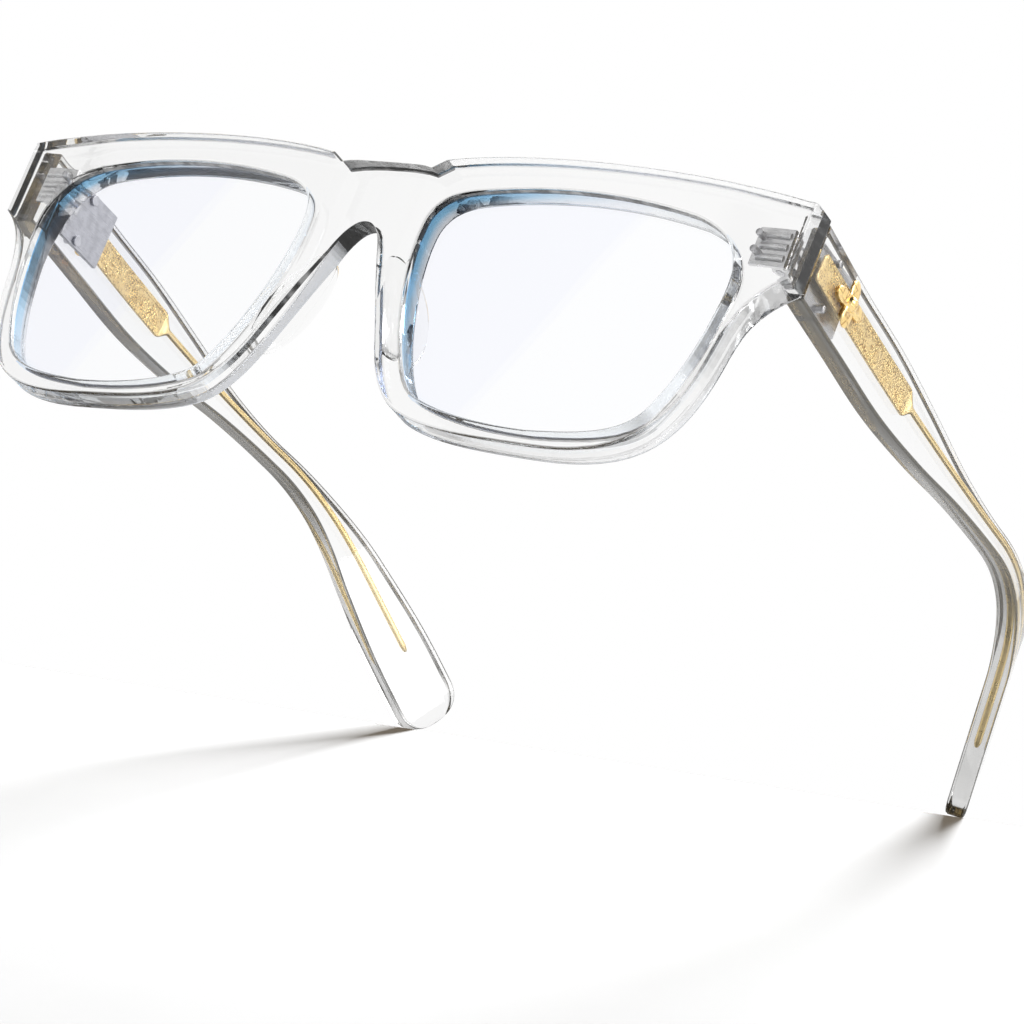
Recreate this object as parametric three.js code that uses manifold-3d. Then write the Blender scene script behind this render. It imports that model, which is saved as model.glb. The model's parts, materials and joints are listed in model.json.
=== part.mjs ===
// Blue light glasses: clear acetate front and temples, gold cores, five-knuckle hinges.
// Millimetres. X runs across the face, Y runs back along the temples, Z is up.
import * as THREE from "three";
import { mergeVertices } from "three/addons/utils/BufferGeometryUtils.js";
import Module from "manifold-3d";

const wasm = await Module();
wasm.setup();

// Clearances
const bondGap = 0.2;
const runningGap = 0.05;
const buttGap = 0.3;
const knuckleGap = 0.15;

// Front
const frontHalfWidth = 73.2;
const frontDepth = 5;
const frontRounding = 1.4;
const wrapRadius = 575;
const bridgeTop = 22.6;
const archTop = 11.9;
const browHeight = 26.1;
const endTop = 23.5;
const endBottom = 10.4;
const rimBottom = -22.6;
const endpieceDepth = 5.8;
const endpieceWidth = 10.6;
const bridgeRecess = 1.1;

// Lenses
const openingCentre = 37.6;
const openingHalfWidth = 26.6;
const openingTop = 20.1;
const openingBottom = -19.9;
const lensThickness = 1.8;
const lensSetback = 1.4;
const grooveDepth = 0.8;

// Temples
const templeThickness = 3.6;
const templeHeight = 12.9;
const templeRounding = 0.45;
const templeCentreX = frontHalfWidth - 2.1;
const waistHeight = 4;
const tipHeight = 12.6;
const bendDistance = 106.5;
const tipLength = 45.8;
const dropAngle = THREE.MathUtils.degToRad(34);
const inwardAngle = THREE.MathUtils.degToRad(27);

// Cores
const plateLength = 37;
const plateWidth = 4.9;
const coreThickness = 0.9;
const wireWidth = 1.2;
const coreRise = 1.1;
const wireEndInset = 14;

// Hinges
const barrelRadius = 1.25;
const screwRadius = 0.6;
const leafThickness = 0.8;
const hingeHeight = 5.8;
const frontLeafHeight = hingeHeight + 0.6;
const templeLeafHeight = hingeHeight + 4.2;
const hingeCentreZ = 16.9;
const templeLeafLength = 11;
const rivetRadius = 0.6;

// How much of each rim and tip is planed off, so that it stands on a small flat
const restFlat = 0.3;

const acetate = { color: 0xf2f2f2, roughness: 0.08, metalness: 0 };
const coatedLens = { color: 0xd5e7fa, roughness: 0.05, metalness: 0 };
const gold = { color: 0xe9bf6c, roughness: 0.32, metalness: 0.9 };
const steel = { color: 0xb9bcc0, roughness: 0.35, metalness: 0.9 };

const root = new THREE.Group();
root.name = "blue_light_glasses";

// A geometry's vertices as a solid
function solid(geometry) {
  const plain = geometry.clone();
  plain.deleteAttribute("normal");
  plain.deleteAttribute("uv");
  const merged = mergeVertices(plain, 1e-4);
  const vertProperties = merged.attributes.position.array;
  const triVerts = new Uint32Array(merged.index.array);
  return new wasm.Manifold(new wasm.Mesh({ numProp: 3, vertProperties, triVerts }));
}

function geometryOf(body) {
  const mesh = body.getMesh();
  const geometry = new THREE.BufferGeometry();
  geometry.setAttribute("position", new THREE.BufferAttribute(mesh.vertProperties, 3));
  geometry.setIndex(new THREE.BufferAttribute(mesh.triVerts, 1));
  geometry.computeVertexNormals();
  return geometry;
}

// The same geometry seen in a mirror across X = 0
function mirrored(geometry) {
  const other = geometry.clone();
  other.scale(-1, 1, 1);
  const index = other.index.array;
  for (let i = 0; i < index.length; i += 3) {
    const second = index[i + 1];
    index[i + 1] = index[i + 2];
    index[i + 2] = second;
  }
  other.computeVertexNormals();
  return other;
}

function addPiece(name, geometry, look) {
  const mesh = new THREE.Mesh(geometry, new THREE.MeshStandardMaterial(look));
  mesh.name = name;
  root.add(mesh);
  return mesh;
}

// One piece on the wearer's left (+X) and its mirror image on the right
function addPair(name, body, look, number = "") {
  const geometry = geometryOf(body);
  addPiece(name + "_left" + number, geometry, look);
  addPiece(name + "_right" + number, mirrored(geometry), look);
}

function box(width, depth, height, x, y, z) {
  return solid(new THREE.BoxGeometry(width, depth, height).translate(x, y, z));
}

function pin(radius, length, axis, x, y, z, sides = 20) {
  const geometry = new THREE.CylinderGeometry(radius, radius, length, sides);
  if (axis === "x") geometry.rotateZ(Math.PI / 2);
  if (axis === "z") geometry.rotateX(Math.PI / 2);
  return solid(geometry.translate(x, y, z));
}

// How far the wrapped front lies behind its middle at a given x
function wrapAt(x) {
  return (x * x) / (2 * wrapRadius);
}

// An outline in the XZ plane, drawn back along Y from one depth to another and wrapped
function slab(outline, holes, from, to, rounding = 0) {
  const turned = THREE.ShapeUtils.isClockWise(outline) ? outline.slice().reverse() : outline;
  const shape = new THREE.Shape(turned);
  shape.holes = holes.map((points) => new THREE.Path(points));
  const geometry = new THREE.ExtrudeGeometry(shape, {
    depth: to - from - 2 * rounding,
    bevelEnabled: rounding > 0,
    bevelThickness: rounding,
    bevelSize: rounding,
    bevelOffset: -rounding,
    bevelSegments: 2,
    curveSegments: 1,
  });
  geometry.rotateX(Math.PI / 2);
  geometry.translate(0, to - rounding, 0);
  const position = geometry.attributes.position;
  for (let i = 0; i < position.count; i += 1) {
    position.setY(i, position.getY(i) + wrapAt(position.getX(i)));
  }
  return solid(geometry);
}

// A closed loop moved outward by a distance, or inward when it is negative
function offsetLoop(points, distance) {
  const area = THREE.ShapeUtils.area(points);
  return points.map((point, i) => {
    const before = points[(i + points.length - 1) % points.length];
    const after = points[(i + 1) % points.length];
    const along = after.clone().sub(before).normalize();
    const outward = new THREE.Vector2(along.y, -along.x).multiplyScalar(Math.sign(area));
    return point.clone().addScaledVector(outward, distance);
  });
}

function mirrorLoop(points) {
  return points.map((point) => new THREE.Vector2(-point.x, point.y)).reverse();
}

// Lens opening: brow side, temple side, cheek side and nose side, one curve each
function openingLoop() {
  const left = openingCentre - openingHalfWidth;
  const right = openingCentre + openingHalfWidth;
  const path = new THREE.Path();
  path.moveTo(left + 0.2, 12);
  path.bezierCurveTo(left + 0.6, 16.2, left + 3.6, 17.6, left + 8, 18.4);
  path.bezierCurveTo(left + 20, openingTop + 0.6, right - 20, openingTop + 0.6, right - 8.5, 18.4);
  path.bezierCurveTo(right - 2.4, 16.6, right + 0.4, 13.4, right, 6.5);
  path.bezierCurveTo(right - 0.7, -2, right - 2.4, -9, right - 5.4, -14.2);
  path.bezierCurveTo(right - 8, -18.2, right - 14, -19.2, openingCentre + 4, openingBottom);
  path.bezierCurveTo(openingCentre - 6, openingBottom - 0.2, left + 13.5, -18.6, left + 9.6, -16.6);
  path.bezierCurveTo(left + 5.2, -13.8, left - 0.6, 3, left + 0.2, 12);
  return path.getPoints(8).slice(0, -1);
}

// Half of the front's outline, from the top of the bridge round to the top of the nose arch
function frontHalf() {
  const path = new THREE.Path();
  path.moveTo(0, bridgeTop);
  path.quadraticCurveTo(5, bridgeTop, 8.3, bridgeTop - 0.8);
  path.lineTo(10.6, bridgeTop + 0.8);
  path.bezierCurveTo(23, browHeight, 52, browHeight + 0.6, frontHalfWidth, endTop);
  path.lineTo(frontHalfWidth - 0.2, endBottom);
  path.bezierCurveTo(frontHalfWidth - 4.8, 7.2, frontHalfWidth - 6.3, 3, frontHalfWidth - 7.1, -2.5);
  path.bezierCurveTo(frontHalfWidth - 8.1, -9.5, frontHalfWidth - 10, -14.4, frontHalfWidth - 13.2, -17.5);
  path.bezierCurveTo(frontHalfWidth - 16.3, -20.5, 52, rimBottom, 42, rimBottom);
  path.bezierCurveTo(33, rimBottom, 25.5, -22.4, 19.8, -20.2);
  path.bezierCurveTo(15.6, -18.5, 12.9, -14, 11.2, -9.8);
  path.bezierCurveTo(9.6, -5.8, 6.4, 2, 4.6, 6.2);
  path.bezierCurveTo(3.4, 9.6, 2, archTop, 0, archTop);
  return path.getPoints(7);
}

const opening = openingLoop();
const half = frontHalf();
const frontOutline = half.concat(mirrorLoop(half).slice(1, -1));

// Temple centre line: a gentle run back, the bend over the ear, then the straight tip
const endpieceBack = wrapAt(frontHalfWidth) + endpieceDepth;
const templeStart = endpieceBack + buttGap;
const tipDirection = new THREE.Vector3(
  -Math.sin(inwardAngle) * Math.cos(dropAngle),
  Math.cos(inwardAngle) * Math.cos(dropAngle),
  -Math.sin(dropAngle),
);
const bendPoint = new THREE.Vector3(templeCentreX - 0.4, bendDistance, hingeCentreZ - 3.3);
const beforeBend = new THREE.Vector3(templeCentreX + 0.3, bendDistance - 16.5, hingeCentreZ - 3.8);
const afterBend = bendPoint.clone().addScaledVector(tipDirection, 15);
const centreLine = new THREE.CurvePath();
centreLine.add(
  new THREE.QuadraticBezierCurve3(
    new THREE.Vector3(templeCentreX, templeStart, hingeCentreZ),
    new THREE.Vector3(templeCentreX + 0.8, (templeStart + beforeBend.y) / 2, hingeCentreZ - 4.4),
    beforeBend,
  ),
);
centreLine.add(new THREE.QuadraticBezierCurve3(beforeBend, bendPoint, afterBend));
centreLine.add(new THREE.LineCurve3(afterBend, bendPoint.clone().addScaledVector(tipDirection, tipLength)));
const templeLength = centreLine.getLength();

// Temple height against the share of its length
const heightCurve = new THREE.SplineCurve([
  new THREE.Vector2(0, templeHeight),
  new THREE.Vector2(0.18, templeHeight - 0.7),
  new THREE.Vector2(0.36, templeHeight - 0.9),
  new THREE.Vector2(0.5, (templeHeight + waistHeight) / 2 + 0.8),
  new THREE.Vector2(0.61, waistHeight + 1.4),
  new THREE.Vector2(0.69, waistHeight),
  new THREE.Vector2(0.77, waistHeight + 1.3),
  new THREE.Vector2(0.87, tipHeight - 3.2),
  new THREE.Vector2(0.95, tipHeight - 0.2),
  new THREE.Vector2(1, tipHeight),
]);

function templeHeightAt(along) {
  return heightCurve.getPoint(THREE.MathUtils.clamp(along / templeLength, 0, 1)).y;
}

// Rounded oblong sections along the centre line, joined into one closed body: three points to each
// corner. sectionAt gives each section's half width, half height, rise and corner radius.
function sweep(from, to, steps, sectionAt, distanceAt = (share) => from + (to - from) * share) {
  const geometry = new THREE.CylinderGeometry(1, 1, 1, 12, steps);
  geometry.deleteAttribute("normal");
  geometry.deleteAttribute("uv");
  const position = geometry.attributes.position;
  const across = new THREE.Vector3();
  const up = new THREE.Vector3();
  const point = new THREE.Vector3();
  for (let i = 0; i < position.count; i += 1) {
    const share = position.getY(i) + 0.5;
    const distance = distanceAt(share);
    const place = THREE.MathUtils.clamp(distance / templeLength, 0, 1);
    const middle = centreLine.getPointAt(place);
    const along = centreLine.getTangentAt(place);
    middle.addScaledVector(along, distance - place * templeLength);
    across.set(along.y, -along.x, 0).normalize();
    up.crossVectors(across, along);
    const { halfWidth, halfHeight, rise, corner } = sectionAt(distance);
    const turn = Math.round((Math.atan2(position.getZ(i), position.getX(i)) / Math.PI) * 6 + 12) % 12;
    const quarter = Math.floor(turn / 3);
    const angle = ((quarter * 2 + (turn % 3)) * Math.PI) / 4;
    const sideX = quarter === 0 || quarter === 3 ? 1 : -1;
    const sideZ = quarter < 2 ? 1 : -1;
    const onRim = Math.hypot(position.getX(i), position.getZ(i)) > 0.5 ? 1 : 0;
    const x = onRim * (sideX * (halfWidth - corner) + corner * Math.cos(angle));
    const z = onRim * (sideZ * (halfHeight - corner) + corner * Math.sin(angle));
    point.copy(middle).addScaledVector(across, x).addScaledVector(up, rise + z);
    position.setXYZ(i, point.x, point.y, point.z);
  }
  return solid(geometry);
}

// The tip closes over this length with a full rounding
const tipRounding = 5.5;

function templeSection(distance) {
  const fromEnd = Math.max(templeLength - distance, 0);
  const share = Math.min(fromEnd / tipRounding, 1);
  const closing = (1 - (1 - share) ** 2.6) ** (1 / 2.6);
  return {
    halfWidth: (templeThickness / 2) * (0.35 + 0.65 * closing),
    halfHeight: (templeHeightAt(distance) / 2) * Math.max(closing, 0.3),
    rise: 0,
    corner: templeRounding,
  };
}

const plateShoulder = 3;
const wireStart = plateLength + plateShoulder;
const coreStart = 2.2;
const coreEnd = templeLength - wireEndInset;

function coreSection(distance, clearance) {
  const narrowing = THREE.MathUtils.smoothstep(distance, plateLength, wireStart);
  const wireEnd = Math.min((coreEnd + clearance - distance) / wireWidth, 1);
  const width = THREE.MathUtils.lerp(plateWidth, wireWidth, narrowing);
  const depth = THREE.MathUtils.lerp(coreThickness, wireWidth, narrowing);
  const closing = 0.4 + 0.6 * Math.max(wireEnd, 0);
  const halfWidth = (depth / 2 + clearance) * closing;
  const halfHeight = (width / 2 + clearance) * closing;
  const corner = halfWidth * THREE.MathUtils.lerp(0.3, 0.85, narrowing);
  return { halfWidth, halfHeight, rise: coreRise, corner };
}

// More sections where the shape changes: the plate's shoulder, and the bend
function coreDistance(share, from) {
  const marks = [from, plateLength, wireStart, bendDistance - 26, coreEnd - wireWidth, coreEnd];
  const step = share * (marks.length - 1) * 0.999999;
  const index = Math.floor(step);
  return THREE.MathUtils.lerp(marks[index], marks[index + 1], step - index);
}

const coreSteps = 35;
const core = sweep(
  coreStart,
  coreEnd,
  coreSteps,
  (d) => coreSection(d, 0),
  (s) => coreDistance(s, coreStart),
);
const channelStart = -3;
const channel = sweep(
  channelStart,
  coreEnd,
  coreSteps,
  (d) => coreSection(d, bondGap),
  (s) => coreDistance(s, channelStart) + bondGap * 2 * s,
);

// Hinge: the axis stands just inside the temple's inner face, behind the endpiece
const innerFaceX = templeCentreX - templeThickness / 2;
const axisX = innerFaceX - bondGap - barrelRadius;
const axisY = endpieceBack + 0.35 + barrelRadius;
const knuckles = 5;
const knucklePitch = hingeHeight / knuckles;
const leafFaceY = endpieceBack - leafThickness - 0.1;
const frontLeafWidth = 6;
const frontLeafX = axisX - 1.2;

function knuckle(index) {
  const z = hingeCentreZ + (index - (knuckles - 1) / 2) * knucklePitch;
  return { z, height: knucklePitch - knuckleGap };
}

const screwHole = pin(screwRadius + runningGap, hingeHeight + 4, "z", axisX, axisY, hingeCentreZ, 16);
let frontLeaf = box(
  frontLeafWidth,
  leafThickness,
  frontLeafHeight,
  frontLeafX,
  leafFaceY + leafThickness / 2,
  hingeCentreZ,
);
let templeLeaf = box(
  leafThickness,
  templeLeafLength,
  templeLeafHeight,
  innerFaceX - bondGap - leafThickness / 2,
  axisY + barrelRadius + templeLeafLength / 2 + 0.4,
  hingeCentreZ,
);
for (let index = 0; index < knuckles; index += 1) {
  const { z, height } = knuckle(index);
  const barrel = pin(barrelRadius, height, "z", axisX, axisY, z, 16);
  if (index % 2 === 0) {
    const reach = axisY - leafFaceY - leafThickness / 2;
    const web = box(barrelRadius * 1.5, reach, height, axisX, axisY - reach / 2, z);
    frontLeaf = frontLeaf.add(barrel).add(web);
  } else {
    const reach = barrelRadius + 1;
    const webX = innerFaceX - bondGap - leafThickness / 2;
    const web = box(leafThickness, reach, height, webX, axisY + reach / 2, z);
    templeLeaf = templeLeaf.add(barrel).add(web);
  }
}
frontLeaf = frontLeaf.subtract(screwHole);
templeLeaf = templeLeaf.subtract(screwHole);

// Screw: a slotted head on the top knuckle
const screwTop = hingeCentreZ + hingeHeight / 2;
const headHeight = 0.7;
const shank = pin(screwRadius, hingeHeight + 0.4, "z", axisX, axisY, hingeCentreZ + 0.2, 16);
const head = pin(barrelRadius - 0.15, headHeight, "z", axisX, axisY, screwTop + headHeight / 2, 16);
const slot = box(barrelRadius * 2, 0.3, 0.3, axisX, axisY, screwTop + headHeight);
const screw = shank.add(head).subtract(slot);

// Rivets: a short shank through the leaf into the acetate, with a flat head on the leaf
const rivetHead = 0.4;

function rivet(axis, sign, x, y, z, length) {
  const shankCentre = (length / 2) * sign;
  const headCentre = (-rivetHead / 2) * sign;
  const place = (offset) => (axis === "x" ? [x + offset, y, z] : [x, y + offset, z]);
  const body = pin(rivetRadius, length, axis, ...place(shankCentre), 12);
  const button = pin(rivetRadius * 1.5, rivetHead, axis, ...place(headCentre), 12);
  return body.add(button);
}

function rivetHole(axis, sign, x, y, z, length) {
  const centre = ((length + bondGap) / 2) * sign;
  const place = axis === "x" ? [x + centre, y, z] : [x, y + centre, z];
  return pin(rivetRadius + bondGap, length + bondGap, axis, ...place, 12);
}

const frontRivetFace = leafFaceY + leafThickness + bondGap / 2;
const frontRivetLength = 3.6;
const templeRivetFace = innerFaceX - bondGap * 1.5 - leafThickness;
const templeRivetLength = leafThickness + bondGap + 2.6;
const templeRivetY = axisY + barrelRadius + 4.4;
const frontRivetX = frontLeafX - frontLeafWidth / 2 + 1.2;
const frontRivetSpread = frontLeafHeight / 2 - 1.8;
const templeRivetSpread = templeLeafHeight / 2 - 1.1;
const frontRivetHeights = [hingeCentreZ + frontRivetSpread, hingeCentreZ - frontRivetSpread];
const templeRivetHeights = [hingeCentreZ + templeRivetSpread, hingeCentreZ - templeRivetSpread];

// Front: the slab with its two openings, grooves, deeper endpieces and hinge pockets
const preOpening = offsetLoop(opening, -2.2);
let front = slab(frontOutline, [preOpening, mirrorLoop(preOpening)], 0, frontDepth, frontRounding);
const endpieceInner = frontHalfWidth - endpieceWidth;
const endpieceLoop = [
  new THREE.Vector2(endpieceInner, endBottom + 0.6),
  new THREE.Vector2(frontHalfWidth - 0.4, endBottom + 0.5),
  new THREE.Vector2(frontHalfWidth - 0.15, endTop - 0.3),
  new THREE.Vector2(endpieceInner, endTop - 0.1),
];
const lug = slab(endpieceLoop, [], frontDepth - 2.4, endpieceDepth, 0.3);
const grooveFrom = lensSetback - bondGap;
const grooveTo = lensSetback + lensThickness + bondGap;
let cutter = slab(opening, [], -2, endpieceDepth + 2);
cutter = cutter.add(slab(offsetLoop(opening, grooveDepth), [], grooveFrom, grooveTo));
const pocketDepth = leafThickness + 0.1 + bondGap;
const pocket = box(
  frontLeafWidth + 2 * bondGap,
  pocketDepth + 1,
  frontLeafHeight + 2 * bondGap,
  frontLeafX,
  endpieceBack - pocketDepth + (pocketDepth + 1) / 2,
  hingeCentreZ,
);
cutter = cutter.add(pocket);
for (const z of frontRivetHeights) {
  cutter = cutter.add(rivetHole("y", -1, frontRivetX, frontRivetFace, z, frontRivetLength));
  frontLeaf = frontLeaf.subtract(rivetHole("y", -1, frontRivetX, frontRivetFace, z, frontRivetLength));
}
for (const z of templeRivetHeights) {
  templeLeaf = templeLeaf.subtract(rivetHole("x", 1, templeRivetFace, templeRivetY, z, templeRivetLength));
}
const lugPair = lug.add(solid(mirrored(geometryOf(lug))));
const cutterPair = cutter.add(solid(mirrored(geometryOf(cutter))));
front = front.add(lugPair).subtract(cutterPair);

// The bridge's face is hollowed a little between the two rims
const recessHalfWidth = 8.6;
const recessRadius = (recessHalfWidth ** 2 + bridgeRecess ** 2) / (2 * bridgeRecess);
front = front.subtract(pin(recessRadius, 60, "z", 0, bridgeRecess - recessRadius, 8, 160));

// Temples
const templeSteps = 42;
const endShare = 0.82;
const templeDistance = (share) =>
  share < endShare
    ? ((templeLength - tipRounding + overrun) * share) / endShare - overrun
    : templeLength - tipRounding * (1 - (share - endShare) / (1 - endShare)) ** 1.8;
const overrun = 1.5;
let temple = sweep(-overrun, templeLength, templeSteps, templeSection, templeDistance);
temple = temple.subtract(channel).subtract(box(60, 20, 60, templeCentreX, templeStart - 10, hingeCentreZ));

// The glasses stand level on the rims and the tips: the slope of that plane in the front's own axes
const rimLow = wrapAt(42) + frontDepth / 2;
const templePoints = geometryOf(temple).attributes.position;
let restSlope = 1;
for (let i = 0; i < templePoints.count; i += 1) {
  const back = templePoints.getY(i) - rimLow;
  if (back > bendDistance) restSlope = Math.min(restSlope, (templePoints.getZ(i) - rimBottom) / back);
}
const restTilt = Math.atan(restSlope);
const restZ = rimBottom + restFlat - rimLow * restSlope;
const plane = new THREE.BoxGeometry(400, 400, 40);
plane.translate(0, 0, -20);
plane.rotateX(restTilt);
plane.translate(0, 0, restZ);
const below = solid(plane);
front = front.subtract(below);
temple = temple.subtract(below);
addPiece("front_frame", geometryOf(front), acetate);

// Lenses, held in the grooves
const lensLoop = offsetLoop(opening, grooveDepth - bondGap);
addPair("lens", slab(lensLoop, [], lensSetback, lensSetback + lensThickness), coatedLens);

// Nose pads, cemented behind the rims beside the nose
const padShape = new THREE.SphereGeometry(1, 20, 12);
padShape.scale(2.9, 5.2, 9.4);
padShape.rotateZ(-0.35);
padShape.rotateY(-0.39);
padShape.translate(9.7, frontDepth + 0.4, -1.4);
const padFront = box(60, 40, 60, 0, frontDepth + wrapAt(13) + bondGap - 20, 0);
addPair("nose_pad", solid(padShape).subtract(padFront), acetate);

// Gold ornament: four petals on a round boss, held by a short pin
const ornamentY = 22.6;
const ornamentZ = hingeCentreZ + 0.1;
const ornamentThickness = 0.7;
const petals = new THREE.Shape();
const petalPoints = 32;
for (let i = 0; i < petalPoints; i += 1) {
  const angle = (i / petalPoints) * 2 * Math.PI;
  const reach = 1.9 + 2.7 * Math.abs(Math.cos(2 * angle)) ** 1.5;
  const x = reach * Math.cos(angle) * 0.85;
  const y = reach * Math.sin(angle);
  if (i === 0) petals.moveTo(x, y);
  else petals.lineTo(x, y);
}
const petalShape = new THREE.ExtrudeGeometry(petals, {
  depth: ornamentThickness - 0.3,
  bevelEnabled: true,
  bevelThickness: 0.3,
  bevelSize: 0.3,
  bevelOffset: -0.3,
  bevelSegments: 1,
  steps: 1,
});
petalShape.rotateX(Math.PI / 2);
petalShape.rotateZ(Math.PI / 2);
const outerFaceX = templeCentreX + templeThickness / 2 + 0.1;
petalShape.translate(outerFaceX + bondGap + 0.3, ornamentY, ornamentZ);
const boss = new THREE.SphereGeometry(1.5, 12, 8);
boss.scale(0.75, 1, 1);
boss.translate(outerFaceX + bondGap + 0.75, ornamentY, ornamentZ);
const bossLimit = box(10, 10, 10, outerFaceX + bondGap - 5, ornamentY, ornamentZ);
const ornamentPin = pin(0.5, 1.5, "x", outerFaceX + 0.15, ornamentY, ornamentZ, 16);
const ornament = solid(petalShape).add(solid(boss)).subtract(bossLimit).add(ornamentPin);
addPair("temple_emblem", ornament, gold);
temple = temple.subtract(pin(0.5 + bondGap, 1.9, "x", outerFaceX + 0.15, ornamentY, ornamentZ, 16));
for (const z of templeRivetHeights) {
  temple = temple.subtract(rivetHole("x", 1, templeRivetFace, templeRivetY, z, templeRivetLength));
}
addPair("temple", temple, acetate);
addPair("core", core, gold);
addPair("hinge_front_leaf", frontLeaf, steel);
addPair("hinge_temple_leaf", templeLeaf, steel);
addPair("hinge_screw", screw, steel);
frontRivetHeights.forEach((z, i) => {
  const body = rivet("y", -1, frontRivetX, frontRivetFace, z, frontRivetLength);
  addPair("front_rivet", body, steel, "_" + (i + 1));
});
templeRivetHeights.forEach((z, i) => {
  const body = rivet("x", 1, templeRivetFace, templeRivetY, z, templeRivetLength);
  addPair("temple_rivet", body, steel, "_" + (i + 1));
});

// Levelled on the rest plane, with the middle of its footprint at the origin
root.rotation.x = -restTilt;
root.position.z = -restZ * Math.cos(restTilt);
const extent = new THREE.Box3().setFromObject(root, true);
root.position.y = -(extent.min.y + extent.max.y) / 2;

export default root;
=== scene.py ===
# Clear acetate blue light glasses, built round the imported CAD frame.
# Shapes are drawn in millimetres; place turns them into the frame's metres.
import json
import math

import bmesh
import bpy
from mathutils import Matrix, Quaternion, Vector


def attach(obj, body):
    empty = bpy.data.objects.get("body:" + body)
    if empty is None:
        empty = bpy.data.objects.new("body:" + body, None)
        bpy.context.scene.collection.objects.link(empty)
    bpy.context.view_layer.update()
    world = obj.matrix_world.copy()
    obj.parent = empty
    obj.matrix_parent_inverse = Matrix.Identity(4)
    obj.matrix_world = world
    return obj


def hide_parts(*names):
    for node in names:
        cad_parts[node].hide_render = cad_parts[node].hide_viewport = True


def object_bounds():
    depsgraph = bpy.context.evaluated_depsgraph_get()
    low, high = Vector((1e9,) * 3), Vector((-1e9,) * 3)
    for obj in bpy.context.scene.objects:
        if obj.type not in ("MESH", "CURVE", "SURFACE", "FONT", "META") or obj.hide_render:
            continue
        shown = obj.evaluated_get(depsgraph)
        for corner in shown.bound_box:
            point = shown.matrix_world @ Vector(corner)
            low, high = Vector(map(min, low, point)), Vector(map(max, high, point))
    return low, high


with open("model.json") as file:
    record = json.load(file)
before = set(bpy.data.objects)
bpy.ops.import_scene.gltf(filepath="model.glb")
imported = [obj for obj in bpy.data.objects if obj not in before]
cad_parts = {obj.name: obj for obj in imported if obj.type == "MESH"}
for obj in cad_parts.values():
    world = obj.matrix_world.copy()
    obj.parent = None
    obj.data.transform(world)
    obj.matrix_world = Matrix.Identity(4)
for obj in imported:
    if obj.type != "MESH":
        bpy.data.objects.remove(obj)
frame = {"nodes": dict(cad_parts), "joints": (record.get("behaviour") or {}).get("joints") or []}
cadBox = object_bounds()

mm = 0.001
print("frame loaded:", len(frame["nodes"]), "nodes")

# Shapes are drawn upright, as the maker draws a front, and then set where the left
# hinge axis stands in the frame.
hinge = next(joint for joint in frame["joints"] if joint["name"] == "temple_left_fold")
lean = math.atan2(hinge["axis"][1], hinge["axis"][2])
front = {
    "halfWidth": 73.2, "depth": 5.0, "rounding": 0.55, "wrapRadius": 575.0,
    "bridgeTop": 22.6, "archTop": 11.9, "browHeight": 26.1, "rimBottom": -22.6,
    "endTop": 23.5, "endBottom": 10.4, "endpieceDepth": 5.8, "endLight": 2.3,
    "openingCentre": 37.6, "openingHalfWidth": 26.6, "openingTop": 20.1, "openingBottom": -19.9,
    "lensFront": 1.4, "recessHalfWidth": 8.6, "recessDepth": 1.1, "strip": 2.0,
}
hingeSizes = {
    "height": 5.8, "knuckles": 5, "knuckleGap": 0.15, "barrelRadius": 1.25, "screwRadius": 0.6,
    "boreGap": 0.05, "leafThickness": 0.8, "frontLeafHeight": 6.4, "templeLeafHeight": 10.0,
    "frontLeafWidth": 6.0, "templeLeafLength": 11.0, "gap": 0.2, "centreZ": 16.9,
    "rivetRadius": 0.6, "rivetLength": 3.6, "rivetHead": 0.4, "ribRadius": 0.62, "ribPitch": 1.9,
}
temple = {
    "thickness": 3.6, "height": 12.9, "waist": 4.0, "tipHeight": 12.6, "rounding": 0.45,
    "centreX": 71.1, "bendDistance": 106.5, "tipLength": 45.8, "tipRounding": 5.5,
    "drop": math.radians(34), "inward": math.radians(27), "endGap": 0.3, "endBevel": 0.18,
}
core = {
    "plateLength": 37.0, "plateWidth": 4.9, "thickness": 0.9, "wireWidth": 1.2, "rise": 1.1,
    "shoulder": 3.0, "start": 2.2, "startLength": 0.6, "endInset": 14.0, "rim": 0.5, "engraved": 0.1,
}
innerFaceX = temple["centreX"] - temple["thickness"] / 2
axisX = innerFaceX - hingeSizes["gap"] - hingeSizes["barrelRadius"]
endpieceBack = front["halfWidth"] ** 2 / (2 * front["wrapRadius"]) + front["endpieceDepth"]
axisY = endpieceBack + 0.35 + hingeSizes["barrelRadius"]
hingePlace = Vector((axisX, axisY, hingeSizes["centreZ"]))
upright = Matrix.Scale(mm, 4) @ Matrix.Translation(-hingePlace)
place = Matrix.Translation(hinge["pos_m"]) @ Matrix.Rotation(-lean, 4, "X") @ upright
mirrorX = Matrix.Scale(-1, 4, (1, 0, 0))
floorLevel = cadBox[0].z


# Materials
def nodesOf(name):
    material = bpy.data.materials.new(name)
    material.use_nodes = True
    tree = material.node_tree
    tree.nodes.clear()
    return material, tree


def addNode(tree, kind, links=None, **settings):
    node = tree.nodes.new(kind)
    for key, value in settings.items():
        setattr(node, key, value)
    for socket, value in (links or {}).items():
        target = node.inputs[socket]
        if isinstance(value, bpy.types.NodeSocket):
            tree.links.new(value, target)
        else:
            target.default_value = value
    return node


def ownCoordinates(tree, scale=(1, 1, 1), turn=(0, 0, 0)):
    source = addNode(tree, "ShaderNodeTexCoord").outputs["Object"]
    links = {"Vector": source, "Scale": scale, "Rotation": turn}
    return addNode(tree, "ShaderNodeMapping", links).outputs[0]


def noise(tree, where, scale, detail=3.0, roughness=0.5, distortion=0.0):
    return addNode(tree, "ShaderNodeTexNoise", {
        "Vector": where, "Scale": scale, "Detail": detail, "Roughness": roughness, "Distortion": distortion,
    }).outputs[0]


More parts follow.
